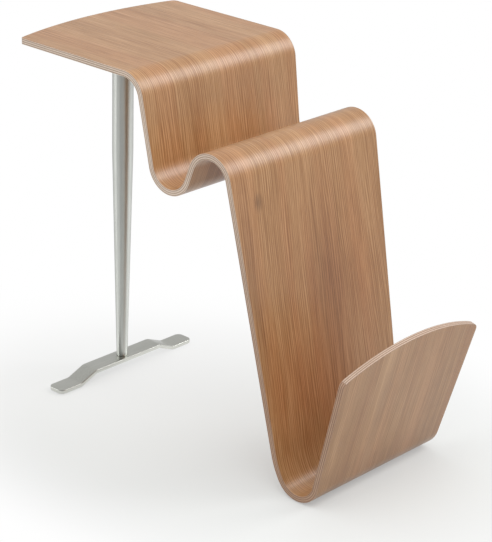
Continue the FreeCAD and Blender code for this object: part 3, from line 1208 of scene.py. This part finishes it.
    def build(self) -> list[bpy.types.Object]:
        """Models, trims, maps and dresses the seven plies.

        Returns:
            The plies, from the upper skin down.
        """
        faces, edges = self.faces(), self.edges()
        pieces = []
        upper = self.thickness / 2
        for node, thickness, grain, slot in self.lay_up():
            lower = upper - thickness
            piece = BentFlat("bent_" + node, self.path, lower, upper, self.width_at).sweep()
            self.trim_ends()
            close_shape()
            outer_skin = {"upper_face_veneer": upper, "lower_face_veneer": lower}.get(node)
            if outer_skin is not None:
                self.ease_edges(outer_skin)
            bpy.ops.object.mode_set(mode="OBJECT")
            sides_and_ends = edges if grain is PlyGrain.LONG else edges[::-1]
            for finish in (faces.get(node, faces["hidden"]), *sides_and_ends):
                piece.data.materials.append(finish)
            self.map_grain(piece, lower, upper)
            finish_piece(piece, self.smooth_degrees)
            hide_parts(node)
            pieces.append(piece)
            upper = lower
        return pieces


@dataclass
class TaperedLeg:
    """Turned tube leg, straight at the top and tapered to the foot bar."""

    setback: float = 0.0705
    free_end_x: float = -0.327305
    top_radius: float = 0.0161
    foot_radius: float = 0.0086
    bore_radius: float = 0.006
    foot_z: float = 0.0196
    taper_top_z: float = 0.3606
    top_z: float = 0.5412
    chamfer: float = 0.0008
    sides: int = 128
    smooth_degrees: float = 30.0

    def build(self) -> bpy.types.Object:
        """Turns the leg from its foot up, closes its bore and dresses it.

        Returns:
            The finished leg.
        """
        axis = ALONG * (self.free_end_x + self.setback)
        clear_selection()
        foot = axis + UP * self.foot_z
        bpy.ops.mesh.primitive_circle_add(
            vertices=self.sides, radius=self.bore_radius, fill_type="NOTHING", location=foot
        )
        piece = start_shape("tapered_leg")
        bpy.ops.mesh.select_mode(type="EDGE")
        profile = [
            (self.bore_radius, self.foot_z),
            (self.foot_radius - self.chamfer, self.foot_z),
            (self.foot_radius, self.foot_z + self.chamfer),
            (self.top_radius, self.taper_top_z),
            (self.top_radius, self.top_z),
            (self.bore_radius, self.top_z),
        ]
        follow_profile(axis, profile, bpy.ops.mesh.extrude_edges_move)
        choose(Kind.EDGE, lambda edge: edge.is_boundary)
        bpy.ops.mesh.bridge_edge_loops()
        close_shape()
        bpy.ops.object.mode_set(mode="OBJECT")
        strokes = Pattern(900.0, 900.0, 9.0, layers=3.0, strength=0.6)
        finish = SatinMetal("satin_metal_leg", strokes, (0.3, 0.7, 0.34, 0.42), turned=True)
        piece.data.materials.append(finish.material())
        finish_piece(piece, self.smooth_degrees)
        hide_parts("leg")
        return piece


@dataclass
class FootBar:
    """Flat bar across the table, bent up between its two pads, with a countersunk hole."""

    axis_x: float = -0.256805
    length: float = 0.284
    width: float = 0.031
    thickness: float = 0.006
    glide: float = 0.0012
    lift: float = 0.0124
    slope: float = 22.0
    bend_radius: float = 0.016
    bend_step: float = 2.0
    middle_run: float = 0.132
    corner: float = 0.009
    corner_facets: int = 12
    eased: float = 0.0009
    eased_facets: int = 3
    screw_radius: float = 0.0042
    head_radius: float = 0.0075
    hole_sides: int = 64
    hole_clearance: float = 0.0005
    smooth_degrees: float = 30.0

    def path(self) -> BentPath:
        """Lays out the bar's middle surface.

        Returns:
            The path, from one end of the bar to the other.
        """
        slope = math.radians(self.slope)
        ramp = (self.lift - 2 * self.bend_radius * (1 - math.cos(slope))) / math.sin(slope)
        reach = ramp * math.cos(slope) + 2 * self.bend_radius * math.sin(slope)
        pad = (self.length - self.middle_run) / 2 - reach
        up, down = Bend(self.bend_radius, self.slope), Bend(self.bend_radius, -self.slope)
        start = Vector((self.axis_x, -self.length / 2, self.glide + self.thickness / 2))
        steps = [Run(pad), up, Run(ramp), down, Run(self.middle_run), down, Run(ramp), up, Run(pad)]
        return BentPath.laid(ACROSS, start, steps)

    def round_corners(self) -> None:
        """Rounds the four upright corners of the pads in edit mode."""
        end_y = self.length / 2

        def is_corner(edge: bmesh.types.BMEdge) -> bool:
            """Whether an edge stands upright at one of the bar's ends."""
            first, second = (vert.co for vert in edge.verts)
            return abs(abs(first.y) - end_y) < TIGHT and (first.xy - second.xy).length < TIGHT

        choose(Kind.EDGE, is_corner)
        bpy.ops.mesh.bevel(offset=self.corner, segments=self.corner_facets, profile=0.5, affect="EDGES")

    def ease_rims(self) -> None:
        """Rounds the rims of the bar's upper and lower skins in edit mode."""
        rather_level = 0.5

        def is_rim(edge: bmesh.types.BMEdge) -> bool:
            """Whether an edge is where a skin meets the upright sides."""
            skins = [abs(face.normal.z) > rather_level for face in edge.link_faces]
            return len(skins) == 2 and skins[0] != skins[1]

        choose(Kind.EDGE, is_rim)
        bpy.ops.mesh.bevel(offset=self.eased, segments=self.eased_facets, profile=0.5, affect="EDGES")

    def drill(self, piece: bpy.types.Object) -> None:
        """Drills and countersinks the hole for the leg's screw from below.

        Args:
            piece: The bar, in object mode.
        """
        axis = ALONG * self.axis_x
        under = self.glide + self.lift
        start = under - self.hole_clearance
        clear_selection()
        bpy.ops.mesh.primitive_circle_add(
            vertices=self.hole_sides, radius=self.head_radius, fill_type="NGON", location=axis + UP * start
        )
        cutter = start_shape("hole_cutter")
        profile = [
            (self.head_radius, start),
            (self.head_radius, under),
            (self.screw_radius, under + self.head_radius - self.screw_radius),
            (self.screw_radius, under + 2 * self.thickness),
        ]
        follow_profile(axis, profile, bpy.ops.mesh.extrude_region_move)
        close_shape()
        bpy.ops.object.mode_set(mode="OBJECT")
        make_active(piece)
        cut = piece.modifiers.new("screw_hole", "BOOLEAN")
        cut.operation = "DIFFERENCE"
        cut.solver = "EXACT"
        cut.object = cutter
        bpy.ops.object.modifier_apply(modifier=cut.name)
        bpy.data.objects.remove(cutter)

    def build(self) -> bpy.types.Object:
        """Bends, rounds, drills and dresses the bar.

        Returns:
            The finished bar.
        """
        half = self.thickness / 2
        flat = BentFlat("foot_flat_bar", self.path(), -half, half, lambda place: self.width, self.bend_step)
        piece = flat.sweep()
        self.round_corners()
        self.ease_rims()
        close_shape()
        bpy.ops.object.mode_set(mode="OBJECT")
        self.drill(piece)
        strokes = Pattern(700.0, 9.0, 700.0, layers=3.0, strength=0.6)
        colour = (0.61, 0.615, 0.57)
        finish = SatinMetal("satin_metal_foot", strokes, (0.3, 0.7, 0.27, 0.36), colour=colour)
        piece.data.materials.append(finish.material())
        finish_piece(piece, self.smooth_degrees)
        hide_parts("foot_bar")
        return piece


@dataclass
class Fixings:
    """Plate, plugs, screws and glides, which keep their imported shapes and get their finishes."""

    steel_nodes: tuple[str, ...] = ("leg_mounting_plate", "plate_wood_screws", "leg_plugs", "leg_screws")
    nylon_nodes: tuple[str, ...] = ("foot_glides", "strip_glides")

    def dress(self) -> None:
        """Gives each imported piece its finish."""
        steel = ZincPlate("zinc_plated_steel").material()
        nylon = DarkNylon("dark_nylon").material()
        for names, finish in ((self.steel_nodes, steel), (self.nylon_nodes, nylon)):
            for name in names:
                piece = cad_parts[name]
                piece.data.materials.clear()
                piece.data.materials.append(finish)
                LOG.info("%s: %s", name, finish.name)


@dataclass(frozen=True)
class Lamp:
    """Soft square lamp: its direction from the table in degrees, distance, side and power."""

    name: str
    azimuth: float
    height: float
    distance: float
    size: float
    power: float
    in_gloss: bool = True
    in_diffuse: bool = True


@dataclass
class Studio:
    """Pale floor, white surroundings and soft lamps."""

    floor_size: float = 24.0
    dome: Range = (0.0, 1.0, 0.66, 1.38)
    mirror: Range = (-0.6, 0.8, 0.62, 0.20)
    aim: Vector = field(default_factory=lambda: Vector((0.0, 0.0, 0.3)))
    lamps: tuple[Lamp, ...] = (
        Lamp("key_lamp", 60.0, 36.0, 6.0, 2.8, 126.0),
        Lamp("rim_lamp", -133.0, 18.0, 6.0, 2.0, 62.0, in_diffuse=False),
        Lamp("fill_lamp", -58.0, 54.0, 1.9, 1.3, 9.5, in_gloss=False),
    )

    def lay_floor(self) -> None:
        """Lays the floor."""
        clear_selection()
        bpy.ops.mesh.primitive_plane_add(size=self.floor_size, location=(0.0, 0.0, 0.0))
        floor = bpy.context.active_object
        floor.name = "studio_floor"
        floor.data.materials.append(PaleFloor("pale_floor").material())

    def fill_world(self) -> None:
        """Lights the surroundings, brighter overhead.

        The camera sees them white. Metal and lacquer see them dimmer, most so in front.
        """
        world = bpy.data.worlds.new("studio")
        bpy.context.scene.world = world
        world.use_nodes = True
        bench = NodeBench(world.node_tree)
        by_camera, mirrored = bench.rays()
        heading = bench.add("ShaderNodeTexCoord").outputs["Generated"]
        dome = bench.span(bench.split(heading)[2], *self.dome, smooth=False)
        mirror = bench.span(bench.reach(heading, FRONT), *self.mirror)
        level = bench.blend(by_camera, bench.blend(mirrored, dome, mirror), 1.0)
        back = bench.nodes["Background"]
        bench.join(WHITE, back.inputs["Color"])
        bench.join(level, back.inputs["Strength"])

    def hang(self, lamp: Lamp) -> None:
        """Hangs one lamp that faces the table.

        Args:
            lamp: The lamp to hang.
        """
        level, turn = math.radians(lamp.height), math.radians(lamp.azimuth)
        way = Vector((math.cos(level) * math.cos(turn), math.cos(level) * math.sin(turn), math.sin(level)))
        bpy.ops.object.light_add(type="AREA", location=self.aim + way * lamp.distance)
        light = bpy.context.active_object
        light.name = lamp.name
        light.data.shape = "SQUARE"
        light.data.size = lamp.size
        light.data.energy = lamp.power
        light.rotation_euler = (-way).to_track_quat("-Z", "Y").to_euler()
        light.visible_glossy = lamp.in_gloss
        light.visible_diffuse = lamp.in_diffuse

    def build(self) -> None:
        """Sets up the studio."""
        bpy.context.scene.view_settings.view_transform = "Standard"
        self.lay_floor()
        self.fill_world()
        for lamp in self.lamps:
            self.hang(lamp)


@dataclass
class PictureCamera:
    """Camera at the picture's viewing angle. Angles are in degrees."""

    place: Vector = field(default_factory=lambda: Vector((1.889565, -2.05277, 1.39665)))
    yaw: float = 47.43
    pitch: float = 22.52
    roll: float = 1.62
    focal_pixels: float = 2067.5
    picture_height: float = 542.0
    sensor: float = 36.0
    clip_end: float = 50.0

    def build(self) -> None:
        """Adds the camera and makes it the scene's own."""
        yaw, pitch, roll = (math.radians(angle) for angle in (self.yaw, self.pitch, self.roll))
        view = Vector((-math.cos(yaw) * math.cos(pitch), math.sin(yaw) * math.cos(pitch), -math.sin(pitch)))
        level = Vector((math.sin(yaw), math.cos(yaw), 0.0))
        top = level.cross(view)
        right = level * math.cos(roll) + top * math.sin(roll)
        top = top * math.cos(roll) - level * math.sin(roll)
        turn = Matrix((right, top, -view)).transposed()
        bpy.ops.object.camera_add(location=self.place, rotation=turn.to_euler())
        camera = bpy.context.active_object
        camera.name = "picture_camera"
        camera.data.sensor_width = self.sensor
        camera.data.sensor_fit = "AUTO"
        camera.data.lens = self.focal_pixels * self.sensor / self.picture_height
        camera.data.clip_end = self.clip_end
        bpy.context.scene.camera = camera


def main() -> None:
    """Builds and dresses the table's pieces in order, then sets up the studio and the camera."""
    logging.basicConfig(level=logging.INFO, format="%(name)s %(message)s")
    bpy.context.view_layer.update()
    BentStrip().build()
    TaperedLeg().build()
    FootBar().build()
    Fixings().dress()
    Studio().build()
    PictureCamera().build()


if __name__ == "__main__":
    main()
